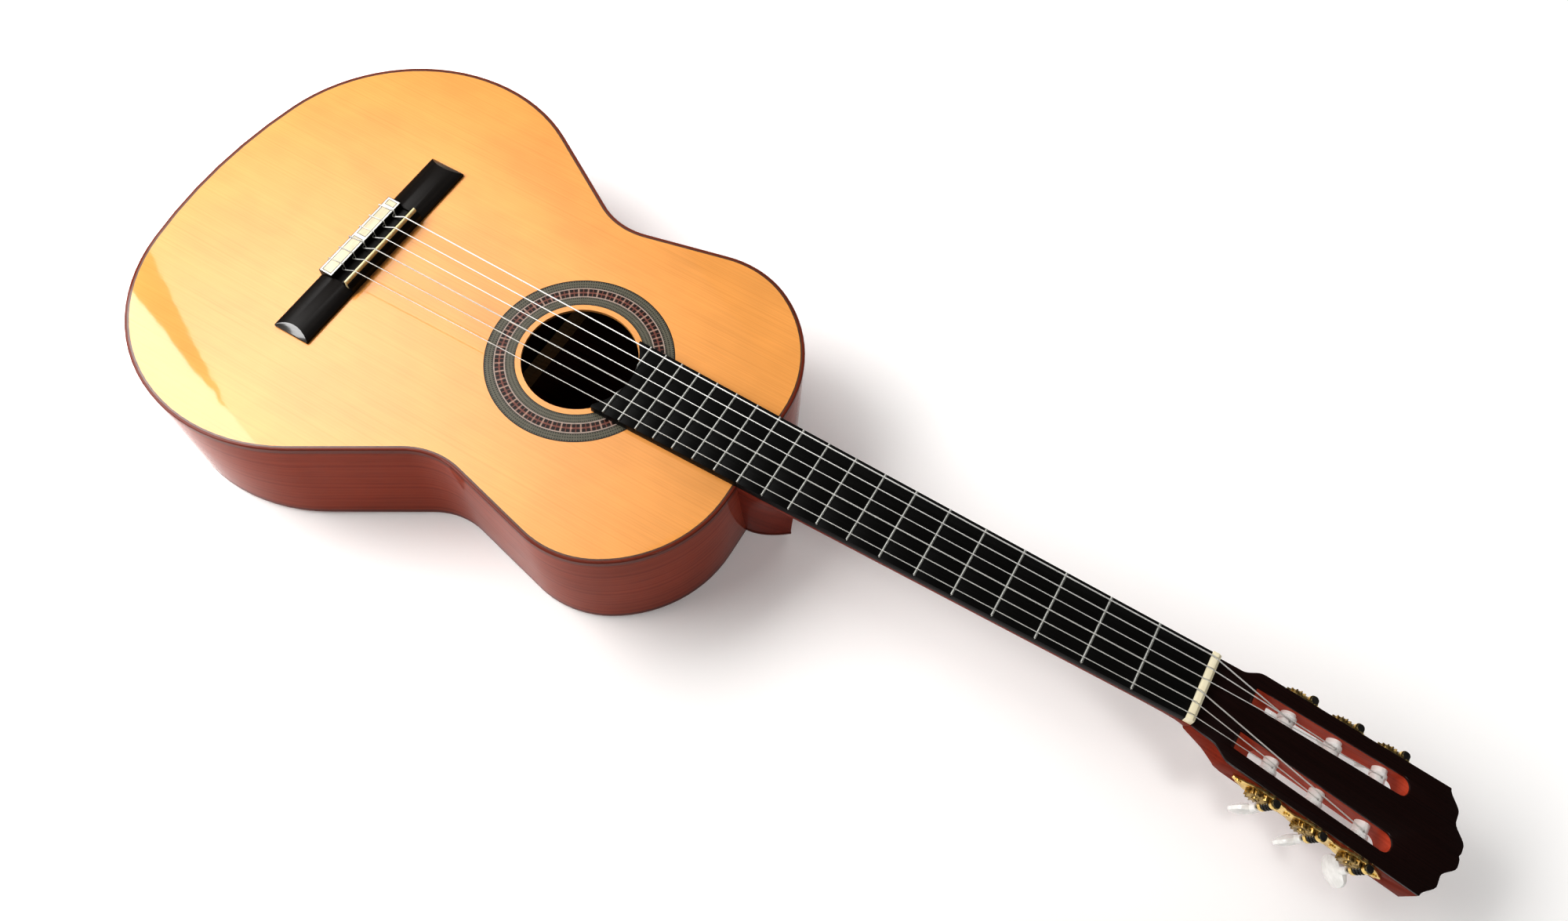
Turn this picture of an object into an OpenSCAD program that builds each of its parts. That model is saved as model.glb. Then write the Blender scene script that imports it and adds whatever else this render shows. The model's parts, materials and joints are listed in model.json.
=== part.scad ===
// Classical guitar lying on its back: +X towards the head, +Y the bass side, +Z up, millimetres.

/* [Body] */
// Vibrating string length from nut to saddle
scale_length = 650; // [640:1:660]
// Length of the body along the strings
body_length = 488; // [482:1:494]
// Depth of the body on its centre line, top to back
body_depth = 104; // [94:1:110]
// Width across the upper bout
upper_bout = 272; // [266:1:278]
// Width across the waist
waist = 234; // [228:1:240]
// Width across the lower bout
lower_bout = 370; // [364:1:374]
// Length of the flat seat for the neck's heel
joint_flat = 78; // [72:1:82]
// Thickness of the soundboard
top_thick = 2.4; // [2:0.1:3]
// Thickness of the back plates
back_thick = 2.4; // [2:0.1:3]
// Thickness of the bent sides and of the binding
side_thick = 2; // [1.8:0.1:2.4]
// Radius of the back's arch across its width
arch_radius = 4500; // [3500:100:6000]
// Height of the binding strips
binding_high = 5; // [4:0.5:7]

/* [Soundhole] */
// Radius of the soundhole
hole_radius = 42.2; // [40:0.1:44]
// Outer radius of the rosette
rosette_radius = 68.5; // [64:0.5:70]
// Inner radius of the rosette
rosette_inner = 46.5; // [45.5:0.5:48]

/* [Neck] */
// Width of the fretboard at the nut
nut_width = 50; // [48:0.5:52]
// Width of the fretboard at the body joint
joint_width = 60; // [58:0.5:62]
// Thickness of the fretboard
board_thick = 6.5; // [6:0.5:7]
// Neck thickness under the fretboard at the nut
neck_thin = 14.5; // [13:0.5:16]
// Neck thickness under the fretboard at the heel
neck_thick = 17.5; // [16:0.5:19]
// Number of frets on the fretboard
fret_count = 19; // [18:1:19]
// Height of the fret crowns
fret_high = 1; // [0.8:0.1:1.2]

/* [Head] */
// Angle of the head below the fretboard plane
head_tilt = 12; // [10:1:15]
// Thickness of the head without its face veneer
head_thick = 17; // [16:0.5:18]
// Thickness of the head's face veneer
veneer_thick = 2; // [1.5:0.5:2.5]
// Width of each string slot
slot_wide = 13; // [12:0.5:14]
// Thickness of the wall outside each slot
slot_wall = 10.5; // [9.5:0.5:11]
// Spacing of the tuners along the head
tuner_pitch = 35; // [35:0.5:36]

/* [Tuners] */
// Number of teeth on each gear
gear_teeth = 14; // [14:1:14]
// Module of the gear and worm
gear_module = 0.95; // [0.93:0.01:0.97]
// Radius of the string roller
roller_radius = 4.95; // [4.9:0.01:4.97]
// Eccentricity of the worm's round thread profile
thread_ecc = 0.95; // [0.9:0.01:0.97]
// Radius of the worm's round thread profile
thread_radius = 2.5; // [2.45:0.01:2.52]

/* [Hidden] */
$fn = 64;

nut_thick = 6;
head_gap = 0.5;
crest_step = 9.4;
side_length = 174;
head_length = side_length + 2 * crest_step;
total_length = body_length + scale_length / 2 + nut_thick + head_gap + head_length * cos(head_tilt);
tail_x = -total_length / 2;
joint_x = tail_x + body_length;
nut_x = joint_x + scale_length / 2;
sound_x = joint_x - 149.6;
saddle_x = nut_x - scale_length - 1;
top_z = body_depth;
board_z = top_z + board_thick;
head_x = nut_x + nut_thick + head_gap;
head_z = top_z + veneer_thick * cos(head_tilt);

// Body outline: circles for the bouts, waist, shoulder and tail, each tangent to its neighbours.
// Distances run from the neck joint towards the tail; d is the inset from the outer edge.
r_up = 76;
r_waist = 55;
r_low = 135;
c_up = [88, upper_bout / 2 - r_up];
c_waist = [183, waist / 2 + r_waist];
c_low = [body_length - 140, lower_bout / 2 - r_low];
r_shoulder = (pow(c_up[0], 2) + pow(c_up[1] - joint_flat / 2, 2) - pow(r_up, 2)) / (2 * (c_up[0] - r_up));
c_shoulder = [r_shoulder, joint_flat / 2];
r_tail = (pow(140, 2) + pow(c_low[1], 2) - pow(r_low, 2)) / (2 * (140 - r_low));
c_tail = [body_length - r_tail, 0];
function heading(v) = atan2(v[1], v[0]);
a_shoulder = heading(c_up - c_shoulder);
a_up = heading(c_waist - c_up) + acos((r_up + r_waist) / norm(c_waist - c_up));
a_low = heading(c_waist - c_low) - acos((r_low + r_waist) / norm(c_waist - c_low));
a_tail = heading(c_low - c_tail);
function arc(c, r, a, b) = let (n = ceil(abs(b - a) / 4.5))
  [for (i = [0:n]) let (t = a + (b - a) * i / n) [c[0] + r * cos(t), c[1] + r * sin(t)]];
function half_path(d) = concat([[d, 0]],
  arc(c_shoulder, r_shoulder - d, 180, a_shoulder),
  [for (p = arc(c_up, r_up - d, a_shoulder, a_up)) if (norm(p - c_up) > 0) p],
  arc(c_waist, r_waist + d, a_up + 180, a_low + 180),
  arc(c_low, r_low - d, a_low, a_tail),
  arc(c_tail, r_tail - d, a_tail, 0));
function thin_out(p) = [for (i = [0:len(p) - 1]) if (i == 0 || norm(p[i] - p[max(i - 1, 0)]) > 0.01) p[i]];
function half(d) = [for (p = thin_out(half_path(d))) [joint_x - p[0], p[1]]];
function flip(p) = [for (i = [len(p) - 1:-1:0]) [p[i][0], -p[i][1]]];
function back_to_front(p) = [for (i = [len(p) - 1:-1:0]) p[i]];
function full(d) = let (h = half(d), f = flip(h))
  concat(h, [for (i = [1:len(f) - 2]) f[i]]);

module bass_or_treble(s) {
  if (s > 0) children();
  else mirror([0, 1, 0]) children();
}

// Everything above the arched back raised by d, as long flat facets across the width.
function arch_at(y) = arch_radius - sqrt(arch_radius * arch_radius - y * y);

module in_arch(d) {
  translate([tail_x - 30, 0, d])
    rotate([90, 0, 90])
      linear_extrude(body_length + 60)
        polygon(concat([for (y = [-200:20:200]) [y, arch_at(y)]], [[200, 300], [-200, 300]]));
}

module plan(d, z0, z1) {
  translate([0, 0, z0])
    linear_extrude(z1 - z0)
      polygon(full(d));
}

module plan_ring(d0, d1, z0, z1) {
  difference() {
    plan(d0, z0, z1);
    plan(d1, z0 - 1, z1 + 1);
  }
}

module disc_ring(r0, r1, z0, z1) {
  difference() {
    translate([sound_x, 0, z0])
      cylinder(r = r1, h = z1 - z0, $fn = 128);
    translate([sound_x, 0, z0 - 1])
      cylinder(r = r0, h = z1 - z0 + 2, $fn = 128);
  }
}

purfling_wide = 1.3;
purfling_deep = 1.6;
inlay_deep = 1.2;
mosaic_in = 54.2;
mosaic_out = 60.6;

module soundboard() {
  color("#e8b46a")
    difference() {
      plan(side_thick, top_z - top_thick, top_z);
      difference() {
        plan(side_thick - 0.5, top_z - purfling_deep, top_z + 1);
        plan(side_thick + purfling_wide, top_z - purfling_deep - 1, top_z + 2);
      }
      translate([sound_x, 0, top_z - 10])
        cylinder(r = hole_radius, h = 20, $fn = 128);
      disc_ring(rosette_inner, rosette_radius, top_z - inlay_deep, top_z + 1);
    }
}

module rosette() {
  color("#6f7468") {
    disc_ring(rosette_inner, mosaic_in, top_z - inlay_deep, top_z);
    disc_ring(mosaic_out, rosette_radius, top_z - inlay_deep, top_z);
  }
}

module mosaic() {
  color("#5a3426")
    disc_ring(mosaic_in, mosaic_out, top_z - inlay_deep, top_z);
}

module side(s) {
  bass_or_treble(s)
    intersection() {
      linear_extrude(top_z - binding_high)
        polygon(concat(half(0), back_to_front(half(side_thick))));
      in_arch(binding_high);
    }
}

module bass_side() {
  color("#7c3a2a") side(1);
}

module treble_side() {
  color("#7c3a2a") side(-1);
}

strip_wide = 5;

module back_half(s) {
  bass_or_treble(s)
    difference() {
      intersection() {
        linear_extrude(15)
          polygon(half(side_thick));
        in_arch(0);
      }
      in_arch(back_thick);
      translate([joint_x - body_length / 2, 0, 0])
        cube([body_length + 20, strip_wide, 60], center = true);
    }
}

module back_bass_half() {
  color("#6e3024") back_half(1);
}

module back_treble_half() {
  color("#6e3024") back_half(-1);
}

module back_strip() {
  color("#2a1a14")
    difference() {
      intersection() {
        plan(side_thick, 0, 15);
        translate([joint_x - body_length / 2, 0, 0])
          cube([body_length + 20, strip_wide, 60], center = true);
        in_arch(0);
      }
      in_arch(back_thick);
    }
}

binding_scrape = 0.15;

module bindings() {
  color("#4a2418") {
    plan_ring(0, side_thick, top_z - binding_high, top_z);
    difference() {
      intersection() {
        plan_ring(0, side_thick, 0, 25);
        in_arch(binding_scrape);
      }
      in_arch(binding_high);
    }
  }
}

module top_purfling() {
  color("#2a1a12")
    plan_ring(side_thick, side_thick + purfling_wide, top_z - purfling_deep, top_z);
}

lining_wide = 6;
lining_high = 14;
foot_long = 46;
foot_wide = 70;
tail_long = 18;
tail_wide = 90;

module block_spaces() {
  translate([joint_x - foot_long - side_thick, -foot_wide / 2, -1])
    cube([foot_long + 10, foot_wide, body_depth + 2]);
  translate([tail_x - 10, -tail_wide / 2, -1])
    cube([tail_long + side_thick + 10, tail_wide, body_depth + 2]);
}

module linings() {
  color("#b98552")
    difference() {
      union() {
        plan_ring(side_thick, side_thick + lining_wide, top_z - top_thick - lining_high, top_z - top_thick);
        difference() {
          intersection() {
            plan_ring(side_thick, side_thick + lining_wide, 0, 40);
            in_arch(back_thick);
          }
          in_arch(back_thick + lining_high);
        }
      }
      block_spaces();
    }
}

module inner_block(x0, x1, w) {
  intersection() {
    plan(side_thick, 0, top_z - top_thick);
    translate([x0, -w / 2, 0])
      cube([x1 - x0, w, body_depth]);
    in_arch(back_thick);
  }
}

module tail_block() {
  color("#a06a40") inner_block(tail_x, tail_x + side_thick + tail_long, tail_wide);
}

module foot_block() {
  color("#8a4a30") inner_block(joint_x - side_thick - foot_long, joint_x, foot_wide);
}

module fan_braces() {
  color("#d8b078")
    for (k = [-3:3])
      translate([sound_x - 64, k * 22, top_z - top_thick - 5.5])
        rotate([0, 0, -4 * k])
          difference() {
            translate([-185, -2.5, 0])
              cube([185, 5, 5.5]);
            translate([-185, 0, -5])
              rotate([0, -16, 0])
                translate([-30, -5, -10])
                  cube([60, 10, 10]);
          }
}

module harmonic_bars() {
  color("#d8b078")
    for (x = [sound_x + 56, sound_x - 56])
      intersection() {
        translate([x - 3, -200, top_z - top_thick - 15])
          cube([6, 400, 15]);
        plan(side_thick + lining_wide + 0.1, 0, top_z);
      }
}

module back_braces() {
  color("#c89a64")
    for (s = [104, 217, 345])
      intersection() {
        translate([joint_x - s - 3.5, -200, 0])
          cube([7, 400, 15]);
        plan(side_thick + lining_wide + 0.1, 0, 40);
        in_arch(back_thick);
      }
}

// Neck sections: n shapes the corners, 2 being an ellipse and higher values squarer.
function edge(t, n) = sign(t) * pow(abs(t), 2 / n);
function bowl(w, d, n) = [for (a = [0:9:180]) [w / 2 * edge(cos(a), n), -d * edge(sin(a), n)]];

// Solid through a row of rings that all have the same number of points.
module loft(rings) {
  n = len(rings[0]);
  m = len(rings);
  walls = [for (j = [0:m - 2], i = [0:n - 1]) let (k = (i + 1) % n)
    each [[j * n + i, j * n + k, j * n + n + k], [j * n + i, j * n + n + k, j * n + n + i]]];
  polyhedron([for (r = rings) each r],
    concat([[for (i = [n - 1:-1:0]) i], [for (i = [0:n - 1]) (m - 1) * n + i]], walls));
}

function board_half(s) = (nut_width + (joint_width - nut_width) * s / (scale_length / 2)) / 2;
function neck_deep(s) = neck_thin + (neck_thick - neck_thin) * s / (scale_length / 2);
function neck_ring(s, d, n) = [for (p = bowl(2 * board_half(s), d, n)) [nut_x - s, p[0], top_z + p[1]]];
function head_ring(w, d, n) = [for (p = bowl(w, d, n)) head_pt(0, p[0], p[1] - veneer_thick)];

// Heel plan at height fraction t: length from the body, half-width there, and a prow that is sharp at the cap.
heel_low = 5.5;
heel_top = top_z - 1;
function heel_reach(t) = 31 + 8 * t * t + 62 * pow(t, 8);
function heel_half(t) = 14.6 + (joint_width / 2 - 15) * pow(t, 0.9);
function prow(t) = 1 - t * t;
function heel_x(a, t) = heel_reach(t) * (prow(t) * pow(1 - abs(cos(a)), 0.56) + (1 - prow(t)) * edge(sin(a), 2.3));
function heel_y(a, t) = heel_half(t) * (prow(t) * cos(a) + (1 - prow(t)) * edge(cos(a), 2.3));
function heel_plan(t) = [for (a = [0:9:180]) [joint_x + heel_x(a, t), heel_y(a, t)]];
function heel_ring(t) = [for (p = heel_plan(t)) [p[0], p[1], heel_low + t * (heel_top - heel_low)]];

module neck() {
  color("#5a1c16") {
    loft(concat([for (i = [8:-1:0]) let (s = 26 + (scale_length / 2 - 26) * i / 8) neck_ring(s, neck_deep(s), 2.15)],
      [neck_ring(12, neck_deep(12) + 0.2, 2.3)],
      [neck_ring(3, neck_thin + 0.6, 2.6)],
      [head_ring(nut_width + 1, head_thick, 3)]));
    loft([for (i = [0:12]) heel_ring(1 - pow(1 - i / 12, 1.5))]);
  }
}

module heel_cap() {
  color("#3a1712")
    translate([0, 0, heel_low - 3])
      linear_extrude(3)
        polygon([for (p = heel_plan(0)) [joint_x + (p[0] - joint_x) * 1.02, p[1] * 1.03]]);
}

// Head outline in its own plane: u from the nut, v across.
shoulder_u = 32;
shoulder_v = 33.3;
tip_v = 38.4;
taper = atan((tip_v - shoulder_v) / (side_length - shoulder_u));
function ease(t) = (1 - cos(180 * min(max(t, 0), 1))) / 2;
function crest(v) = side_length + crest_step * ease((tip_v - abs(v)) / 13)
  + crest_step * ease((19.5 - abs(v)) / 12.5) - 1.2 * ease(1 - abs(v) / 2.6);
function neck_flare(u) = nut_width / 2 + 0.5 + 1.3 * u / 16 + (shoulder_v - nut_width / 2 - 1.8) * ease((u - 16) / 16)
  - 1.3 * max(u - 16, 0) / 16;
head_side = [for (u = [0:2:shoulder_u]) [u, neck_flare(u)]];
head_half = concat(head_side, [for (i = [0:20]) let (v = tip_v * (1 - i / 20)) [crest(v), v]]);
head_outline = concat(head_half, [for (i = [len(head_half) - 2:-1:0]) [head_half[i][0], -head_half[i][1]]]);

module in_head() {
  translate([head_x, 0, head_z])
    rotate([0, head_tilt, 0])
      children();
}

// Side frame: x along the head's edge, y out of it, z up from the face.
module on_edge(s) {
  bass_or_treble(s)
    in_head()
      translate([shoulder_u, shoulder_v, 0])
        rotate([0, 0, taper])
          children();
}

axis_w = -10;
first_t = 28;
function tuner_t(k) = first_t + tuner_pitch * k;
slot_mid = -slot_wall - slot_wide / 2;
slot_from = 19;
slot_to = 109;
bore_end = -slot_wall - slot_wide - 7;
bore_radius = roller_radius + 0.05;
plate_thick = 1.8;
plate_from = 9;
plate_to = 121;
screw_at = [13.5, 50.2, 85.2, 116.5];

module slot_cut() {
  translate([slot_from, slot_mid, -40])
    cylinder(d = slot_wide, h = 80);
  translate([slot_to, slot_mid, -40])
    cylinder(d = slot_wide, h = 80);
  translate([slot_from, slot_mid - slot_wide / 2, -40])
    cube([slot_to - slot_from, slot_wide, 80]);
  translate([0, slot_mid + slot_wide / 2, 0])
    rotate([90, 0, 0])
      linear_extrude(slot_wide)
        polygon([[-5, 0.2], [22, 0.2], [22, -16]]);
}

// Carved corner that leads from the round neck into the square head.
module corner_cut(s) {
  h = nut_width / 2 + 0.5;
  low = -veneer_thick - head_thick;
  bass_or_treble(s)
    in_head()
      polyhedron([[-1, h - 9, low - 0.2], [-1, h + 1, low + 9.6], [-1, h + 9, low - 0.2], [shoulder_u + 6, shoulder_v + 1, low - 0.2]],
        [[0, 2, 1], [0, 1, 3], [1, 2, 3], [2, 0, 3]]);
}

module headstock() {
  color("#5a2018")
    difference() {
      in_head()
        translate([0, 0, -veneer_thick - head_thick])
          linear_extrude(head_thick)
            polygon(head_outline);
      corner_cut(1);
      corner_cut(-1);
      for (s = [1, -1])
        on_edge(s) {
          slot_cut();
          for (k = [0:2])
            translate([tuner_t(k), 1, axis_w])
              rotate([90, 0, 0])
                cylinder(r = bore_radius, h = 1 - bore_end);
          for (t = screw_at)
            translate([t, 1, axis_w])
              rotate([90, 0, 0])
                cylinder(r = 1, h = 8);
        }
    }
}

module head_veneer() {
  color("#1c120e")
    difference() {
      in_head()
        translate([0, 0, -veneer_thick])
          linear_extrude(veneer_thick)
            polygon(head_outline);
      for (s = [1, -1])
        on_edge(s)
          slot_cut();
    }
}

board_end = scale_length * (1 - pow(2, -fret_count / 12)) + 10;
function fret_s(n) = scale_length * (1 - pow(2, -n / 12));

module hole_relief() {
  translate([sound_x, 0, top_z - 20])
    cylinder(r = hole_radius + 1, h = 60, $fn = 128);
}

module fretboard() {
  color("#17130f")
    difference() {
      translate([0, 0, top_z])
        linear_extrude(board_thick)
          polygon([[nut_x, nut_width / 2], [nut_x - board_end, board_half(board_end)],
            [nut_x - board_end, -board_half(board_end)], [nut_x, -nut_width / 2]]);
      hole_relief();
      for (n = [1:fret_count])
        translate([nut_x - fret_s(n) - 0.3, -50, board_z - 1.8])
          cube([0.6, 100, 3]);
    }
}

module fret(n) {
  half_long = board_half(fret_s(n)) - 0.4;
  translate([nut_x - fret_s(n), 0, board_z]) {
    difference() {
      rotate([90, 0, 0])
        cylinder(r = fret_high, h = 2 * half_long, center = true, $fn = 32);
      translate([-3, -50, -6])
        cube([6, 100, 6]);
    }
    translate([-0.3, -half_long, -1.8])
      cube([0.6, 2 * half_long, 2]);
  }
}

module frets() {
  color("#c9ccd0") {
    for (n = [1:fret_count - 1])
      fret(n);
    difference() {
      fret(fret_count);
      hole_relief();
    }
  }
}

// Strings are numbered from the treble side.
string_radius = [0.355, 0.41, 0.51, 0.37, 0.445, 0.545];
function nut_y(i) = -21.5 + 8.6 * (i - 1);
function saddle_y(i) = -29 + 11.6 * (i - 1);
nut_string_z = board_z + fret_high + 0.6;
crest_z = top_z + 11.8;
crest_radius = 1.25;

// Angle in plan at which a string leaves the nut for its roller.
function splay(i) = let (p = string_route(i)) atan2(p[0][1] - p[1][1], p[0][0] - p[1][0]);

module nut() {
  color("#efe6cf")
    difference() {
      translate([nut_x, -nut_width / 2, top_z])
        cube([nut_thick, nut_width, nut_string_z + 0.5 - top_z]);
      translate([nut_x + nut_thick, 0, nut_string_z - 0.9])
        rotate([0, 24, 0])
          translate([-2, -50, 0])
            cube([12, 100, 8]);
      for (i = [1:6])
        translate([nut_x + 0.8, nut_y(i), nut_string_z])
          rotate([0, 0, splay(i)])
            rotate([90, 0, 0])
              linear_extrude(2 * string_radius[i - 1] + 0.3, center = true)
                polygon([[-3, -0.02], [0.1, -0.02], [nut_thick + 2, -3.4], [nut_thick + 2, 4], [-3, 4]]);
    }
}

bridge_front = 4.3;
bridge_deep = 29.3;
bridge_half = 91.5;
bridge_core = 40;
ridge_high = 8.6;
trough_high = 3.4;
tie_high = 9;
tie_from = -13.6;
wing_high = 6;
wing_edge = 2.4;
tie_hole_z = 4.6;
bridge_back = bridge_front - bridge_deep;
wing_radius = (pow(bridge_deep / 2, 2) + pow(wing_high - wing_edge, 2)) / (2 * (wing_high - wing_edge));

module bridge_wing(s) {
  bass_or_treble(s)
    difference() {
      intersection() {
        translate([bridge_back, bridge_core - 1, 0])
          cube([bridge_deep, bridge_half - bridge_core + 1, wing_high]);
        translate([bridge_front - bridge_deep / 2, bridge_core - 2, wing_high - wing_radius])
          rotate([-90, 0, 0])
            cylinder(r = wing_radius, h = bridge_half, $fn = 360);
      }
      translate([bridge_back - 5, bridge_half, 2])
        rotate([-35, 0, 0])
          translate([0, -20, 0])
            cube([bridge_deep + 10, 40, 20]);
    }
}

module bridge_seat() {
  translate([saddle_x, 0, top_z])
    children();
}

inlay_thick = 0.8;
inlay_margin = 0.3;
tie_deep = tie_from - bridge_back;

module bridge() {
  color("#1d1613")
    bridge_seat() {
      difference() {
        union() {
          translate([bridge_back, -bridge_core, 0])
            cube([bridge_deep, 2 * bridge_core, trough_high]);
          translate([-3.9, -bridge_core, 0])
            cube([bridge_front + 3.9, 2 * bridge_core, ridge_high]);
          translate([bridge_back, -bridge_core, 0])
            cube([tie_deep, 2 * bridge_core, tie_high]);
          bridge_wing(1);
          bridge_wing(-1);
        }
        translate([-crest_radius, -bridge_core, trough_high])
          cube([2 * crest_radius, 2 * bridge_core, 20]);
        translate([bridge_front, 0, ridge_high - 3])
          rotate([0, -35, 0])
            translate([0, -60, -2])
              cube([10, 120, 12]);
        for (i = [1:6])
          translate([bridge_back - 1, saddle_y(i), tie_hole_z])
            rotate([0, 90, 0])
              cylinder(r = 0.9, h = tie_deep + 2);
        translate([bridge_back + inlay_margin, -bridge_core + inlay_margin, tie_high - inlay_thick])
          cube([tie_deep - 2 * inlay_margin, 2 * bridge_core - 2 * inlay_margin, 5]);
      }
    }
}

module saddle() {
  color("#efe6cf")
    bridge_seat() {
      translate([-crest_radius, -bridge_core, trough_high])
        cube([2 * crest_radius, 2 * bridge_core, crest_z - top_z - crest_radius - trough_high]);
      difference() {
        translate([0, 0, crest_z - top_z - crest_radius])
          rotate([90, 0, 0])
            cylinder(r = crest_radius, h = 2 * bridge_core, center = true);
        translate([-5, -50, crest_z - top_z - crest_radius - 10])
          cube([10, 100, 10]);
      }
    }
}

frame_wide = 1.4;
line_wide = 0.45;
inlay_long = 2 * bridge_core - 2 * inlay_margin;
inlay_deep_x = tie_deep - 2 * inlay_margin;
panel_split = [0, 0.49, 0.9, 1];

module inlay_piece(y0, y1, inset) {
  translate([bridge_back + inlay_margin + inset, y0 + inset, tie_high - inlay_thick])
    cube([inlay_deep_x - 2 * inset, y1 - y0 - 2 * inset, inlay_thick]);
}

function panel_y(k) = -inlay_long / 2 + inlay_long * panel_split[k];

module tie_frames() {
  color("#f2efe6")
    bridge_seat()
      difference() {
        inlay_piece(-inlay_long / 2, inlay_long / 2, 0);
        for (k = [0:2])
          translate([bridge_back + inlay_margin + frame_wide, panel_y(k) + frame_wide, 0])
            cube([inlay_deep_x - 2 * frame_wide, panel_y(k + 1) - panel_y(k) - 2 * frame_wide, 20]);
      }
}

module tie_panels() {
  color("#c9a877")
    bridge_seat()
      for (k = [0:2])
        inlay_piece(panel_y(k), panel_y(k + 1), frame_wide + line_wide);
}

function head_pt(u, v, w) = [head_x + u * cos(head_tilt) + w * sin(head_tilt), v,
  head_z - u * sin(head_tilt) + w * cos(head_tilt)];
function edge_pt(s, t, y, w) = head_pt(shoulder_u + t * cos(taper) - y * sin(taper),
  s * (shoulder_v + t * sin(taper) + y * cos(taper)), w);
function string_side(i) = i > 3 ? 1 : -1;
function string_rank(i) = i > 3 ? 6 - i : i - 1;

// Rise of the string behind the saddle crest down to its hole in the tie block.
drop_angle = 33;

function string_route(i) = let (r = string_radius[i - 1], y = saddle_y(i), q = (crest_radius + r) / cos(drop_angle / 2))
  [
    edge_pt(string_side(i), tuner_t(string_rank(i)) - 1, slot_mid, axis_w + roller_radius + 0.45 + r),
    [nut_x + 0.8, nut_y(i), nut_string_z + r],
    [saddle_x - q * sin(drop_angle / 2), y, crest_z - crest_radius + 0.02 + q * cos(drop_angle / 2)],
    [saddle_x + tie_from + 0.9, y, top_z + tie_hole_z],
    [saddle_x + bridge_back - r - 0.1, y, top_z + tie_hole_z],
    [saddle_x + bridge_back - r - 0.1, y + 0.8, top_z + tie_high + r + 0.03],
    [saddle_x + tie_from + r + 0.1, y + 1.9, top_z + tie_high + r + 0.03],
    [saddle_x + tie_from + r + 0.1, y + 1.9, top_z + tie_hole_z + 2 * r + 0.2]
  ];

// A string is one ten-sided bar, mitred at each bend.
bar_sides = 10;

function unit(v) = v / norm(v);
function run(p, k) = unit(p[k + 1] - p[k]);
function mitre(p, k) = k >= len(p) - 1 ? run(p, k - 1) : unit(run(p, k - 1) + run(p, k));
function first_ring(p, r) = let (d = run(p, 0), a = unit(cross(d, [0, 0, 1])), b = cross(d, a))
  [for (j = [0:bar_sides - 1]) p[0] + r * (a * cos(360 * j / bar_sides) + b * sin(360 * j / bar_sides))];
function bar_ring(p, r, k) = k == 0 ? first_ring(p, r) : let (d = run(p, k - 1), n = mitre(p, k))
  [for (q = bar_ring(p, r, k - 1)) q + d * (((p[k] - q) * n) / (d * n))];

module string(i) {
  p = string_route(i);
  n = bar_sides;
  last = len(p) - 1;
  color(i > 3 ? "#b9b4a8" : "#d9d6cc")
    polyhedron(
      [for (k = [0:last]) each bar_ring(p, string_radius[i - 1], k)],
      concat(
        [[for (j = [0:n - 1]) j]],
        [for (k = [0:last - 1], j = [0:n - 1])
          [k * n + j, (k + 1) * n + j, (k + 1) * n + (j + 1) % n, k * n + (j + 1) % n]],
        [[for (j = [n - 1:-1:0]) last * n + j]]
      )
    );
}

module string_1() { string(1); }
module string_2() { string(2); }
module string_3() { string(3); }
module string_4() { string(4); }
module string_5() { string(5); }
module string_6() { string(6); }

// Tuning machine: gear on the roller's outer end, worm beside it on the tip side.
lead = PI * gear_module;
pitch_radius = gear_module * gear_teeth / 2;
worm_out = thread_radius + thread_ecc;
worm_in = thread_radius - thread_ecc;
mesh_gap = 0.35;
worm_t = pitch_radius + thread_radius + 0.3;
gear_from = plate_thick + 0.3;
gear_thick = 3.2;
worm_y = gear_from + gear_thick / 2;
gear_out = worm_t - worm_in - mesh_gap;
gear_root = worm_t - worm_out - mesh_gap;
lead_angle = atan(lead / (2 * PI * thread_radius));
thread_long = 9;
post_high = 3;
post_radius = 3.3;
shaft_radius = 1.2;
front_post = axis_w + thread_long / 2 + 0.3;
rear_post = axis_w - thread_long / 2 - 0.3;
button_from = rear_post - post_high - 4.4;
button_turn = [150, 138, 48, 35, 118, 80];

module at_tuner(i) {
  on_edge(string_side(i))
    translate([tuner_t(string_rank(i)), 0, axis_w])
      children();
}

module roller(i) {
  color("#f1ede2")
    at_tuner(i)
      difference() {
        rotate([90, 0, 0]) {
          translate([0, 0, 0.3])
            cylinder(r = roller_radius, h = -bore_end - 0.5);
          translate([0, 0, -gear_from])
            cylinder(r = 2.45, h = gear_from + 0.3);
        }
        translate([0, slot_mid, -10])
          cylinder(r = 1, h = 20, $fn = 24);
      }
}

gap_low = 1.1;
gap_high = 2.75;

module tooth_gap(a) {
  rotate([0, a, 0])
    translate([gear_root, 0, 0])
      rotate([-lead_angle, 0, 0])
        translate([0, 4, 0])
          rotate([90, 0, 0])
            linear_extrude(8)
              polygon([[0, -gap_low / 2], [gear_out - gear_root, -gap_high / 2], [4, -gap_high / 2 - 2],
                [4, gap_high / 2 + 2], [gear_out - gear_root, gap_high / 2], [0, gap_low / 2]]);
}

module gear(i) {
  color("#b08a3c")
    at_tuner(i)
      difference() {
        union() {
          translate([0, gear_from + gear_thick, 0])
            rotate([90, 0, 0])
              cylinder(r = gear_out, h = gear_thick);
          translate([0, gear_from + gear_thick + 1, 0])
            rotate([90, 0, 0])
              cylinder(r = 2.6, h = 1);
        }
        for (k = [0:gear_teeth - 1])
          translate([0, worm_y, 0])
            tooth_gap(360 * k / gear_teeth);
        translate([-4, gear_from + gear_thick + 0.5, -0.4])
          cube([8, 2, 0.8]);
      }
}

module at_worm(i) {
  at_tuner(i)
    translate([worm_t, worm_y, -axis_w])
      children();
}

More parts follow.
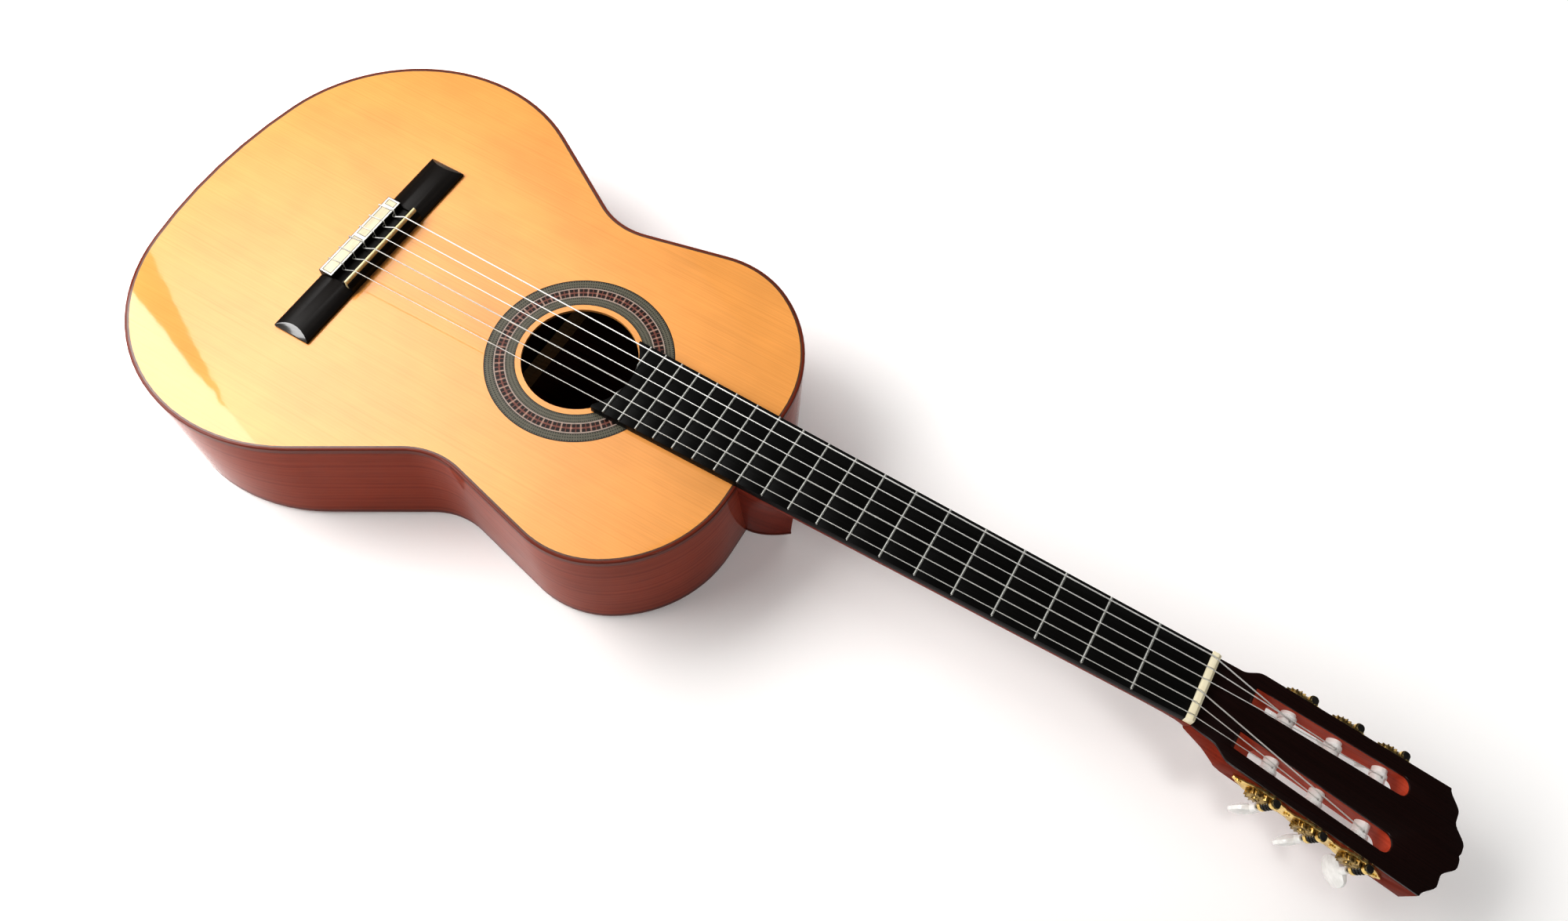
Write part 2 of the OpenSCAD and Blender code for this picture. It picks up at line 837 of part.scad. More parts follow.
module worm(i) {
  color("#1a1a1a")
    at_worm(i) {
      translate([0, 0, axis_w - thread_long / 2])
        linear_extrude(thread_long, twist = -360 * thread_long / lead, slices = 36, segments = 12, $fn = 12)
          rotate([0, 0, 180 - 360 * thread_long / 2 / lead])
            translate([thread_ecc, 0])
              circle(r = thread_radius, $fn = 12);
      translate([0, 0, axis_w + thread_long / 2])
        cylinder(r = shaft_radius, h = post_high + 0.6);
      translate([0, 0, front_post + post_high + 0.3])
        cylinder(r = 2.6, h = 1);
      translate([0, 0, button_from])
        cylinder(r = shaft_radius, h = axis_w - thread_long / 2 - button_from);
    }
}

module for_pair(d, axis) {
  intersection() {
    translate(d * axis)
      children();
    translate(-d * axis)
      children();
  }
}

module button(i) {
  color("#f3f0ea")
    at_worm(i)
      translate([0, 0, button_from])
        rotate([0, 0, button_turn[i - 1]]) {
          translate([0, 0, -6.5])
            cylinder(r1 = 3.1, r2 = 2.3, h = 6.5);
          translate([0, 0, -13.8])
            intersection() {
              for_pair(20.3, [0, 1, 0])
                sphere(r = 23.9, $fn = 128);
              rotate([90, 0, 0])
                cylinder(r = 10.6, h = 30, center = true, $fn = 96);
              for_pair(9.6, [0, 0, 1])
                rotate([90, 0, 0])
                  cylinder(r = 18.8, h = 30, center = true, $fn = 128);
            }
        }
}

module roller_1() { roller(1); }
module roller_2() { roller(2); }
module roller_3() { roller(3); }
module roller_4() { roller(4); }
module roller_5() { roller(5); }
module roller_6() { roller(6); }
module gear_1() { gear(1); }
module gear_2() { gear(2); }
module gear_3() { gear(3); }
module gear_4() { gear(4); }
module gear_5() { gear(5); }
module gear_6() { gear(6); }
module worm_1() { worm(1); }
module worm_2() { worm(2); }
module worm_3() { worm(3); }
module worm_4() { worm(4); }
module worm_5() { worm(5); }
module worm_6() { worm(6); }
module button_1() { button(1); }
module button_2() { button(2); }
module button_3() { button(3); }
module button_4() { button(4); }
module button_5() { button(5); }
module button_6() { button(6); }

module post(w) {
  translate([worm_t, 0, w]) {
    translate([0, worm_y, 0])
      cylinder(r = post_radius, h = post_high);
    translate([-post_radius, plate_thick - 0.2, 0])
      cube([2 * post_radius, worm_y - plate_thick + 0.2, post_high]);
  }
}

// Half-height of a plate along its length: a lobe under each machine, a waist at each screw, leaf-shaped ends.
function lobe(t) = max([for (k = [0:2]) ease(1.25 - abs(t - tuner_t(k) - worm_t / 2) / 16)]);
function leaf(t) = pow(min(1, (t - plate_from + 0.5) / 9, (plate_to - t + 0.5) / 9), 0.6);
function plate_half(t) = (4.3 + 3.7 * lobe(t) + 0.35 * cos(t * 72)) * leaf(t);
plate_rows = [for (i = [0:75]) plate_from + (plate_to - plate_from) * i / 75];

module plate(s) {
  color("#c9a24a")
    on_edge(s)
      difference() {
        union() {
          translate([0, plate_thick, axis_w])
            rotate([90, 0, 0])
              linear_extrude(plate_thick)
                polygon(concat([for (t = plate_rows) [t, plate_half(t)]],
                  [for (i = [75:-1:0]) [plate_rows[i], -plate_half(plate_rows[i])]]));
          for (k = [0:2])
            translate([tuner_t(k), 0, 0]) {
              post(front_post);
              post(rear_post - post_high);
            }
        }
        for (k = [0:2]) {
          translate([tuner_t(k), 5, axis_w])
            rotate([90, 0, 0])
              cylinder(r = 2.5, h = 10);
          translate([tuner_t(k) + worm_t, worm_y, -40])
            cylinder(r = shaft_radius + 0.05, h = 60);
          translate([tuner_t(k) + worm_t, worm_y, axis_w - thread_long / 2 - 0.25])
            cylinder(r = worm_out + 0.3, h = thread_long + 0.5);
        }
        for (t = screw_at)
          translate([t, 5, axis_w])
            rotate([90, 0, 0])
              cylinder(r = 1, h = 10);
      }
}

module plate_bass() { plate(1); }
module plate_treble() { plate(-1); }

module plate_screws() {
  color("#d6b25a")
    for (s = [1, -1])
      on_edge(s)
        for (t = screw_at)
          translate([t, plate_thick, axis_w])
            rotate([-90, 0, 0])
              difference() {
                union() {
                  cylinder(r = 2, h = 0.9);
                  translate([0, 0, -plate_thick - 6.5])
                    cylinder(r = 1, h = plate_thick + 6.5);
                }
                translate([-3, -0.3, 0.5])
                  cube([6, 0.6, 2]);
              }
}

soundboard();
rosette();
mosaic();
bass_side();
treble_side();
back_bass_half();
back_treble_half();
back_strip();
bindings();
top_purfling();
linings();
tail_block();
foot_block();
fan_braces();
harmonic_bars();
back_braces();
neck();
heel_cap();
headstock();
head_veneer();
fretboard();
frets();
nut();
bridge();
saddle();
tie_frames();
tie_panels();
string_1();
string_2();
string_3();
string_4();
string_5();
string_6();
plate_bass();
plate_treble();
plate_screws();
roller_1();
roller_2();
roller_3();
roller_4();
roller_5();
roller_6();
gear_1();
gear_2();
gear_3();
gear_4();
gear_5();
gear_6();
worm_1();
worm_2();
worm_3();
worm_4();
worm_5();
worm_6();
button_1();
button_2();
button_3();
button_4();
button_5();
button_6();
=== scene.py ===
import bisect
import json
import math

import bpy
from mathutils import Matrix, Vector


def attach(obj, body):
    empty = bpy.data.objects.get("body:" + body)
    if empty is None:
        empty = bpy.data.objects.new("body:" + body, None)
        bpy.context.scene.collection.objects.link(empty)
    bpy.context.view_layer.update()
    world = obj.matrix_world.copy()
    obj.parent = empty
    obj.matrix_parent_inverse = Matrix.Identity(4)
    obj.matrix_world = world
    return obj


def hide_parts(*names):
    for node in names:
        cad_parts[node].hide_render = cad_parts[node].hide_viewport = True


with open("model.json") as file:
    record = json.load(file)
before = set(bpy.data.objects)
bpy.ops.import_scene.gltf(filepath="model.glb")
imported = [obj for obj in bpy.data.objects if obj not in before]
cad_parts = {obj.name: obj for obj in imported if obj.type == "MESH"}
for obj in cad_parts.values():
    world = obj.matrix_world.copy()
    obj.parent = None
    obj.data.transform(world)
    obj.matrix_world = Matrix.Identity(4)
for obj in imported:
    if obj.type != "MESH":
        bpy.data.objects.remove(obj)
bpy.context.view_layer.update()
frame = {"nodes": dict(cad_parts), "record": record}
nodes = frame["nodes"]
record = frame["record"]
bodyOf = {n: b for b, members in record["behaviour"]["bodies"].items() for n in members}
joints = {j["name"]: j for j in record["behaviour"]["joints"]}
stringNumbers = range(1, 7)  # from the treble side


# selection and edit mode

def deselectAll():
    if bpy.context.mode != "OBJECT":
        bpy.ops.object.mode_set(mode="OBJECT")
    bpy.ops.object.select_all(action="DESELECT")


def pick(obj):
    deselectAll()
    obj.select_set(True)
    bpy.context.view_layer.objects.active = obj


def editAll(obj):
    pick(obj)
    bpy.ops.object.mode_set(mode="EDIT")
    bpy.ops.mesh.select_all(action="SELECT")


def objectMode():
    bpy.ops.object.mode_set(mode="OBJECT")


def selectEdges(obj, wanted):
    # edit mode with only these edges selected, each named by its two vertices
    editAll(obj)
    bpy.ops.mesh.select_mode(type="EDGE")
    bpy.ops.mesh.select_all(action="DESELECT")
    objectMode()
    for edge in obj.data.edges:
        edge.select = edge.key in wanted
    bpy.ops.object.mode_set(mode="EDIT")


def addModifier(obj, kind, **settings):
    pick(obj)
    modifier = obj.modifiers.new(kind.lower(), kind)
    for key, value in settings.items():
        setattr(modifier, key, value)
    bpy.ops.object.modifier_apply(modifier=modifier.name)


def smooth(obj, angle):
    pick(obj)
    bpy.ops.object.shade_smooth_by_angle(angle=math.radians(angle))


def dress(obj, material):
    obj.data.materials.clear()
    obj.data.materials.append(material)


def boxOf(name):
    corners = nodes[name].bound_box
    return Vector(corners[0]), Vector(corners[6])


# shader building: what feeds a socket is a plain value, or a node's output as (node, socket)

nodeStep = 180  # nodes stand in a row in the order they are made


def wire(tree, source, node, socket):
    tree.links.new(source[0].outputs[source[1]], node.inputs[socket])


def addNode(tree, kind, feeds=None, **settings):
    node = tree.nodes.new(kind)
    node.location = (nodeStep * len(tree.nodes), 0)
    for key, value in settings.items():
        setattr(node, key, value)
    for socket, source in (feeds or {}).items():
        if isinstance(source, tuple) and isinstance(source[0], bpy.types.Node):
            wire(tree, source, node, socket)
        else:
            node.inputs[socket].default_value = source
    return node


def mathNode(tree, operation, a, b=0.0, c=0.0, clamp=False):
    return addNode(tree, "ShaderNodeMath", {0: a, 1: b, 2: c}, operation=operation, use_clamp=clamp), "Value"


def mapRange(tree, value, low, high, toLow=0.0, toHigh=1.0, **settings):
    feeds = {"Value": value, "From Min": low, "From Max": high, "To Min": toLow, "To Max": toHigh}
    return addNode(tree, "ShaderNodeMapRange", feeds, **settings), "Result"


def mixColour(tree, amount, a, b):
    return addNode(tree, "ShaderNodeMix", {0: amount, 6: a, 7: b}, data_type="RGBA"), 2


def stretched(tree, vector, scale):
    return addNode(tree, "ShaderNodeVectorMath", {0: vector, 1: scale}, operation="MULTIPLY"), "Vector"


def scaled(tree, vector, amount):
    return addNode(tree, "ShaderNodeVectorMath", {0: vector, "Scale": amount}, operation="SCALE"), "Vector"


def noise(tree, vector, scale=1.0, detail=2.0, rough=0.5):
    feeds = {"Vector": vector, "Scale": scale, "Detail": detail, "Roughness": rough}
    return addNode(tree, "ShaderNodeTexNoise", feeds), "Fac"


def parts(tree, vector):
    return addNode(tree, "ShaderNodeSeparateXYZ", {"Vector": vector})


def distanceFrom(tree, value, place):
    return mathNode(tree, "ABSOLUTE", mathNode(tree, "SUBTRACT", value, place))


def between(tree, value, low, high):
    above = mathNode(tree, "GREATER_THAN", value, low)
    below = mathNode(tree, "LESS_THAN", value, high)
    return mathNode(tree, "MULTIPLY", above, below)


def newGroup(name, inputs, outputs):
    group = bpy.data.node_groups.new(name, "ShaderNodeTree")
    for label, kind, value in inputs:
        socket = group.interface.new_socket(name=label, in_out="INPUT", socket_type="NodeSocket" + kind)
        if value is not None:
            socket.default_value = value
    for label, kind in outputs:
        group.interface.new_socket(name=label, in_out="OUTPUT", socket_type="NodeSocket" + kind)
    return group, group.nodes.new("NodeGroupInput"), group.nodes.new("NodeGroupOutput")


def useGroup(tree, name, feeds):
    return addNode(tree, "ShaderNodeGroup", feeds, node_tree=bpy.data.node_groups[name])


def newMaterial(name, **sockets):
    made = bpy.data.materials.new(name)
    made.use_nodes = True
    tree = made.node_tree
    shader = tree.nodes["Principled BSDF"]
    for label, value in sockets.items():
        shader.inputs[label.replace("_", " ")].default_value = value
    return made, tree, shader, addNode(tree, "ShaderNodeTexCoord")


def bump(tree, shader, height, strength, distance, socket="Normal"):
    node = addNode(tree, "ShaderNodeBump", {"Height": height, "Strength": strength, "Distance": distance})
    wire(tree, (node, "Normal"), shader, socket)


# camera at the photograph's place
cameraSet = {"place": (0.1625, -0.33352, 0.82867), "turn": (27.234, -2.354, 30.01),
             "lens": 27.0, "sensor": 36.0, "near": 0.01, "gamma": 0.85}


def radians(turn):
    return [math.radians(a) for a in turn]


def placeCamera(s):
    deselectAll()
    bpy.ops.object.camera_add(location=s["place"], rotation=radians(s["turn"]))
    camera = bpy.context.active_object
    camera.data.sensor_width = s["sensor"]
    camera.data.lens = s["lens"]
    camera.data.clip_start = s["near"]
    scene = bpy.context.scene
    scene.camera = camera
    scene.view_settings.view_transform = "Standard"
    scene.view_settings.gamma = s["gamma"]


# studio: a white table that glows with painted light, less near the guitar as a painted shadow, a softbox on
# the left, a fading one beside it, and a key from behind
floorSet = {"size": 14.0, "tone": (0.87, 0.85, 0.832, 1.0), "rough": 0.9, "sheen": 0.1,
            "paintedGlow": (0.16, 0.5), "span": (0.1, 0.45), "half": 0.4, "shift": 0.06}
panelSet = {
    "leftSoftbox": {"place": (-1.756, -0.851, 1.5), "turn": (0, 0, -17.2), "size": (1.6, 2.2),
                    "radiance": 9.0},
    "fadingSoftbox": {"place": (-1.185, 0.656, 1.5), "turn": (0, 0, -27.3), "size": (1.61, 1.0),
                      "radiance": 6.0, "heart": (-1.28, 0.16, 1.5), "reach": 1.15},
    "backKey": {"place": (-0.7, 2.9, 1.3), "turn": (-66, 0, 10), "size": (3.4, 1.2), "radiance": 2.8},
    "frontFill": {"place": (0.5, -1.9, 2.3), "turn": (40, 0, 8), "size": (3.0, 1.6), "radiance": 0.5},
    "headFill": {"place": (1.25, -0.45, 1.35), "turn": (35, 0, 61), "size": (0.7, 0.7),
                 "radiance": 0.26, "spread": 20.0},
}
worldSet = {"seen": 1.0, "seenTone": (1, 1, 1, 1), "felt": 0.03, "feltTone": (1, 0.99, 0.97, 1)}


def addPanel(name, s):
    deselectAll()
    bpy.ops.object.light_add(type="AREA", location=s["place"], rotation=radians(s["turn"]))
    panel = bpy.context.active_object
    panel.name = name
    light = panel.data
    light.shape = "RECTANGLE"
    light.size, light.size_y = s["size"]
    light.energy = s["radiance"] * math.pi * light.size * light.size_y
    light.spread = math.radians(s.get("spread", 180.0))
    if "heart" in s:  # brightest at one place, fading away from it
        light.use_nodes = True
        tree = light.node_tree
        spot = addNode(tree, "ShaderNodeNewGeometry")
        away = addNode(tree, "ShaderNodeVectorMath", {0: (spot, "Position"), 1: s["heart"]},
                       operation="DISTANCE")
        fade = mapRange(tree, (away, "Value"), 0.0, s["reach"], 1.0, 0.0, interpolation_type="SMOOTHSTEP")
        wire(tree, fade, tree.nodes["Emission"], "Strength")


def addFloor(s):
    deselectAll()
    bpy.ops.mesh.primitive_plane_add(size=s["size"], location=(0, 0, 0))
    floor = bpy.context.active_object
    floor.name = "floor"
    paper, tree, shader, place = newMaterial("floorPaintedGlow", Base_Color=s["tone"], Roughness=s["rough"],
                                             Specular_IOR_Level=s["sheen"], Emission_Color=(1, 1, 1, 1))
    # painted light: the floor glows, more so away from the guitar and its shadow, so that a painted shadow
    # lies round the guitar
    xyz = parts(tree, (place, "Object"))
    along = mathNode(tree, "SUBTRACT", mathNode(tree, "ABSOLUTE", (xyz, "X")), s["half"])
    past = mathNode(tree, "MAXIMUM", along, 0.0)
    over = mathNode(tree, "ADD", (xyz, "Y"), s["shift"])
    flat = addNode(tree, "ShaderNodeCombineXYZ", {"X": past, "Y": over})
    away = addNode(tree, "ShaderNodeVectorMath", {0: (flat, "Vector")}, operation="LENGTH")
    wire(tree, mapRange(tree, (away, "Value"), *s["span"], *s["paintedGlow"]), shader, "Emission Strength")
    dress(floor, paper)


def setWorld(s):
    # white behind everything, but hardly any light from it
    world = bpy.context.scene.world or bpy.data.worlds.new("studio")
    bpy.context.scene.world = world
    world.use_nodes = True
    tree = world.node_tree
    tree.nodes.clear()
    seen = addNode(tree, "ShaderNodeBackground", {"Strength": s["seen"], "Color": s["seenTone"]})
    felt = addNode(tree, "ShaderNodeBackground", {"Strength": s["felt"], "Color": s["feltTone"]})
    path = addNode(tree, "ShaderNodeLightPath")
    mixed = addNode(tree, "ShaderNodeMixShader",
                    {0: (path, "Is Camera Ray"), 1: (felt, "Background"), 2: (seen, "Background")})
    addNode(tree, "ShaderNodeOutputWorld", {"Surface": (mixed, "Shader")})


placeCamera(cameraSet)
addFloor(floorSet)
for name, s in panelSet.items():
    addPanel(name, s)
setWorld(worldSet)
print("camera, floor and lights placed")

# growth lines across the grain, hair-fine fibres along it, and a broad cloudy figure
figureSet = {"bend": (1.6, 7.0, 7.0), "ringDetail": 2.0, "ringRough": 0.55, "lineEdges": (0.42, 0.7),
             "hair": (18.0, 1400.0, 1400.0), "hairEdges": (0.3, 0.7), "hairTones": (0.96, 1.03),
             "hairRelief": 0.5, "cloud": (9.0, 14.0, 14.0), "cloudDetail": 3.0, "cloudRough": 0.6}


def woodFigureGroup(s):
    group, given, put = newGroup("woodFigure", [
        ("Vector", "Vector", None), ("Across", "Float", 0.0), ("Lines", "Float", 700.0),
        ("Waver", "Float", 0.002), ("Early", "Color", (0.8, 0.5, 0.2, 1)),
        ("Late", "Color", (0.6, 0.3, 0.1, 1)), ("Line Strength", "Float", 0.6), ("Cloud", "Float", 0.15)],
        [("Color", "Color"), ("Height", "Float")])
    source = (given, "Vector")
    bend = mathNode(group, "SUBTRACT", noise(group, stretched(group, source, s["bend"])), 0.5)
    shifted = mathNode(group, "MULTIPLY_ADD", bend, (given, "Waver"), (given, "Across"))
    rings = addNode(group, "ShaderNodeTexNoise", {
        "W": shifted, "Scale": (given, "Lines"), "Detail": s["ringDetail"], "Roughness": s["ringRough"]},
        noise_dimensions="1D")
    lines = mapRange(group, (rings, "Fac"), *s["lineEdges"])
    lineMask = mathNode(group, "MULTIPLY", lines, (given, "Line Strength"))
    tint = mixColour(group, lineMask, (given, "Early"), (given, "Late"))
    hair = noise(group, stretched(group, source, s["hair"]))
    hairTone = mapRange(group, hair, *s["hairEdges"], *s["hairTones"])
    cloud = noise(group, stretched(group, source, s["cloud"]), 1.0, s["cloudDetail"], s["cloudRough"])
    cloud = mathNode(group, "SUBTRACT", cloud, 0.5)
    tone = mathNode(group, "MULTIPLY_ADD", cloud, (given, "Cloud"), hairTone)
    wire(group, scaled(group, tint, tone), put, "Color")
    wire(group, mathNode(group, "MULTIPLY_ADD", hair, s["hairRelief"], lineMask), put, "Height")


# short open pores that run with the grain
poreSet = {"fineness": 1100.0, "detail": 1.0, "edges": (0.6, 0.72)}


def poreGroup(s):
    group, given, put = newGroup(
        "openPores", [("Vector", "Vector", None), ("Length", "Float", 30.0), ("Amount", "Float", 0.4)],
        [("Mask", "Float")])
    scale = addNode(group, "ShaderNodeCombineXYZ",
                    {"X": (given, "Length"), "Y": s["fineness"], "Z": s["fineness"]})
    dashes = noise(group, stretched(group, (given, "Vector"), (scale, "Vector")), 1.0, s["detail"])
    mask = mapRange(group, dashes, *s["edges"])
    wire(group, mathNode(group, "MULTIPLY", mask, (given, "Amount")), put, "Mask")


# how a rubbed or sprayed finish varies: broad handling marks
marksSet = {"size": 35.0, "detail": 4.0, "rough": 0.6}


def finishGroup(s):
    group, given, put = newGroup(
        "finishVariation", [("Vector", "Vector", None), ("Base", "Float", 0.3), ("Spread", "Float", 0.1)],
        [("Roughness", "Float")])
    marks = noise(group, (given, "Vector"), s["size"], s["detail"], s["rough"])
    marks = mathNode(group, "SUBTRACT", marks, 0.5)
    lifted = mathNode(group, "MULTIPLY_ADD", marks, (given, "Spread"), (given, "Base"), clamp=True)
    wire(group, lifted, put, "Roughness")


# the faint ripple of a lacquer
lacquerSet = {"ripple": 60.0, "detail": 1.0, "strength": 0.05, "depth": 0.0006}


def rippleCoat(tree, shader, source, s):
    waves = noise(tree, source, s["ripple"], s["detail"])
    bump(tree, shader, waves, s["strength"], s["depth"], "Coat Normal")


# woods; "across" says which way the growth lines are counted
grainSet = {"ior": 1.45, "coatIor": 1.5, "lean": 0.6, "start": 0.3, "spread": 0.12, "depth": 0.0002}
woodSet = {
    "spruceTop": {
        "across": "mirrored", "lines": 700, "waver": 0.004, "lineStrength": 0.22, "cloud": 0.5,
        "early": (0.82, 0.375, 0.105, 1), "late": (0.68, 0.262, 0.06, 1),
        "pores": 0.0, "poreLength": 30, "poreColour": (0.4, 0.15, 0.03, 1),
        "rough": 0.42, "relief": 0.05, "coat": 1.0, "coatRough": 0.03, "sheen": 0.05},
    "sideMahogany": {
        "across": "ribHeight", "coords": "UV", "lines": 260, "waver": 0.02, "lineStrength": 0.5, "cloud": 0.5,
        "early": (0.31, 0.05, 0.02, 1), "late": (0.18, 0.023, 0.01, 1),
        "pores": 0.3, "poreLength": 22, "poreColour": (0.035, 0.008, 0.005, 1),
        "rough": 0.4, "relief": 0.05, "coat": 1.0, "coatRough": 0.04, "coatIor": 1.08, "sheen": 0.03},
    "backMahogany": {
        "across": "mirrored", "lines": 260, "waver": 0.02, "lineStrength": 0.6, "cloud": 0.5,
        "early": (0.34, 0.055, 0.024, 1), "late": (0.2, 0.026, 0.012, 1),
        "pores": 0.35, "poreLength": 22, "poreColour": (0.035, 0.008, 0.005, 1),
        "rough": 0.4, "relief": 0.05, "coat": 0.4, "coatRough": 0.04, "sheen": 0.05},
    "neckMahogany": {
        "across": "leaning", "lines": 300, "waver": 0.012, "lineStrength": 0.5, "cloud": 0.4,
        "early": (0.23, 0.028, 0.011, 1), "late": (0.13, 0.013, 0.005, 1),
        "pores": 0.35, "poreLength": 26, "poreColour": (0.03, 0.006, 0.004, 1),
        "rough": 0.4, "relief": 0.06, "coat": 0.5, "coatRough": 0.1, "coatIor": 1.05, "sheen": 0.03},
    "bindingWood": {
        "across": "upright", "lines": 900, "waver": 0.004, "lineStrength": 0.7, "cloud": 0.3,
        "early": (0.17, 0.03, 0.015, 1), "late": (0.08, 0.014, 0.008, 1),
        "pores": 0.2, "poreLength": 30, "poreColour": (0.012, 0.004, 0.003, 1),
        "rough": 0.4, "relief": 0.03, "coat": 0.3, "coatRough": 0.04, "sheen": 0.05},
    "headVeneer": {
        "across": "mirrored", "lines": 900, "waver": 0.006, "lineStrength": 0.8, "cloud": 0.3,
        "early": (0.016, 0.005, 0.004, 1), "late": (0.007, 0.003, 0.0025, 1),
        "pores": 0.3, "poreLength": 30, "poreColour": (0.002, 0.001, 0.001, 1),
        "rough": 0.35, "relief": 0.04, "coat": 0.35, "coatRough": 0.06, "sheen": 0.1},
    "ebonyBoard": {
        "across": "mirrored", "lines": 800, "waver": 0.004, "lineStrength": 0.7, "cloud": 0.3,
        "early": (0.004, 0.0037, 0.0033, 1), "late": (0.0022, 0.002, 0.0018, 1),
        "pores": 0.3, "poreLength": 40, "poreColour": (0.001, 0.001, 0.001, 1),
        "rough": 0.42, "relief": 0.1, "coat": 0.0, "coatRough": 0.2, "sheen": 0.1},
    "bridgeWood": {
        "across": "upright", "lines": 800, "waver": 0.004, "lineStrength": 0.7, "cloud": 0.3,
        "early": (0.01, 0.0078, 0.0065, 1), "late": (0.005, 0.004, 0.0034, 1),
        "pores": 0.3, "poreLength": 40, "poreColour": (0.002, 0.002, 0.002, 1),
        "rough": 0.36, "relief": 0.08, "coat": 0.0, "coatRough": 0.2, "sheen": 0.14},
    "slotMahogany": {
        "across": "leaning", "lines": 300, "waver": 0.012, "lineStrength": 0.5, "cloud": 0.4,
        "early": (0.5, 0.08, 0.036, 1), "late": (0.36, 0.045, 0.02, 1),
        "pores": 0.2, "poreLength": 26, "poreColour": (0.12, 0.02, 0.01, 1),
        "rough": 0.5, "relief": 0.06, "coat": 0.1, "coatRough": 0.2, "sheen": 0.1},
    "bridgeEnd": {
        "across": "upright", "lines": 800, "waver": 0.004, "lineStrength": 0.7, "cloud": 0.3,
        "early": (0.03, 0.026, 0.022, 1), "late": (0.016, 0.013, 0.011, 1),
        "pores": 0.3, "poreLength": 40, "poreColour": (0.006, 0.005, 0.005, 1),
        "rough": 0.3, "relief": 0.05, "coat": 1.0, "coatRough": 0.12, "sheen": 0.5},
    # bare mahogany inside the body, made far darker than the outside wood: painted shade in the body's hollow
    "bareMahoganyPaintedShade": {
        "across": "leaning", "lines": 260, "waver": 0.02, "lineStrength": 0.7, "cloud": 0.4,
        "early": (0.07, 0.024, 0.013, 1), "late": (0.034, 0.011, 0.007, 1),
        "pores": 0.5, "poreLength": 22, "poreColour": (0.012, 0.004, 0.003, 1),
        "rough": 0.7, "relief": 0.1, "coat": 0.0, "coatRough": 0.3, "sheen": 0.1},
    "innerWood": {
        "across": "leaning", "lines": 500, "waver": 0.006, "lineStrength": 0.6, "cloud": 0.3,
        "early": (0.52, 0.32, 0.15, 1), "late": (0.36, 0.2, 0.09, 1),
        "pores": 0.1, "poreLength": 30, "poreColour": (0.2, 0.1, 0.04, 1),
        "rough": 0.7, "relief": 0.15, "coat": 0.0, "coatRough": 0.3, "sheen": 0.1},
}


def acrossGrain(tree, xyz, way):
    if way == "mirrored":
        return mathNode(tree, "ABSOLUTE", (xyz, "Y"))
    if way == "leaning":
        return mathNode(tree, "MULTIPLY_ADD", (xyz, "Z"), grainSet["lean"], (xyz, "Y"))
    return mathNode(tree, "ADD", (xyz, "Z" if way == "upright" else "Y"), grainSet["start"])


def woodMaterial(name, s):
    made, tree, shader, place = newMaterial(
        name, Coat_Weight=s["coat"], Coat_Roughness=s["coatRough"],
        Coat_IOR=s.get("coatIor", grainSet["coatIor"]), IOR=grainSet["ior"], Specular_IOR_Level=s["sheen"])
    source = (place, s.get("coords", "Object"))
    figure = useGroup(tree, "woodFigure", {
        "Vector": source, "Across": acrossGrain(tree, parts(tree, source), s["across"]), "Lines": s["lines"],
        "Waver": s["waver"], "Early": s["early"], "Late": s["late"], "Line Strength": s["lineStrength"],
        "Cloud": s["cloud"]})
    pores = useGroup(tree, "openPores", {"Vector": source, "Length": s["poreLength"], "Amount": s["pores"]})
    wire(tree, mixColour(tree, (pores, "Mask"), (figure, "Color"), s["poreColour"]), shader, "Base Color")
    surface = useGroup(tree, "finishVariation",
                       {"Vector": source, "Base": s["rough"], "Spread": grainSet["spread"]})
    wire(tree, (surface, "Roughness"), shader, "Roughness")
    height = mathNode(tree, "MULTIPLY_ADD", (pores, "Mask"), -1.0, (figure, "Height"))
    bump(tree, shader, height, s["relief"], grainSet["depth"])
    if s["coat"] > 0:
        rippleCoat(tree, shader, source, lacquerSet)
    return made


# rosette: rings by radius, fine ticks on their edges, and a mosaic of small wedges by angle
darkLine = (0.012, 0.010, 0.008, 1)
paleLine = (0.40, 0.31, 0.26, 1)
greyGreen = (0.13, 0.12, 0.088, 1)
rosetteSet = {
    "inner": 0.0465, "outer": 0.0685,
    "rough": 0.4, "spread": 0.12, "coat": 0.3, "coatRough": 0.05, "sheen": 0.1,
    "rings": [(0.0465, darkLine), (0.0470, greyGreen), (0.0529, darkLine), (0.0532, paleLine),
              (0.0542, darkLine), (0.0606, paleLine), (0.0616, darkLine), (0.0620, greyGreen),
              (0.0677, darkLine)],
    "ticks": 230, "tickTone": (0.022, 0.02, 0.015, 1),
    "tickRings": [(0.0472, 0.0481), (0.0495, 0.0503), (0.0518, 0.0527),
                  (0.0622, 0.0631), (0.0644, 0.0653), (0.0667, 0.0676)],
    "tiles": 52, "tileInner": 0.0542, "tileOuter": 0.0606,
    "blockTone": (0.014, 0.006, 0.004, 1), "redTone": (0.20, 0.07, 0.05, 1), "redLine": 0.1, "redBar": 0.05,
    "barAt": 0.09, "barHalf": 0.085, "paleBar": (0.40, 0.27, 0.21, 1), "dimBar": (0.27, 0.15, 0.115, 1),
    "heartAt": 0.59, "gemLean": 0.6, "gemReach": 0.15, "gemTone": (0.36, 0.21, 0.16, 1),
    "grain": (300.0, 900.0, 900.0), "grainEdges": (0.3, 0.7), "grainTones": (0.85, 1.12),
}
rosetteSet["centre"] = boxOf("rosette")[1].x - rosetteSet["outer"]


def rosetteRings(tree, radius, s):
    span = mapRange(tree, radius, s["inner"], s["outer"])
    ramp = addNode(tree, "ShaderNodeValToRGB", {"Fac": span})
    ramp.color_ramp.interpolation = "CONSTANT"
    stops = ramp.color_ramp.elements
    for k, (ringFrom, tone) in enumerate(s["rings"]):
        part = (ringFrom - s["inner"]) / (s["outer"] - s["inner"])
        stop = stops[k] if k < 2 else stops.new(part)  # a new ramp already has two stops
        stop.position = part
        stop.color = tone
    return ramp, "Color"


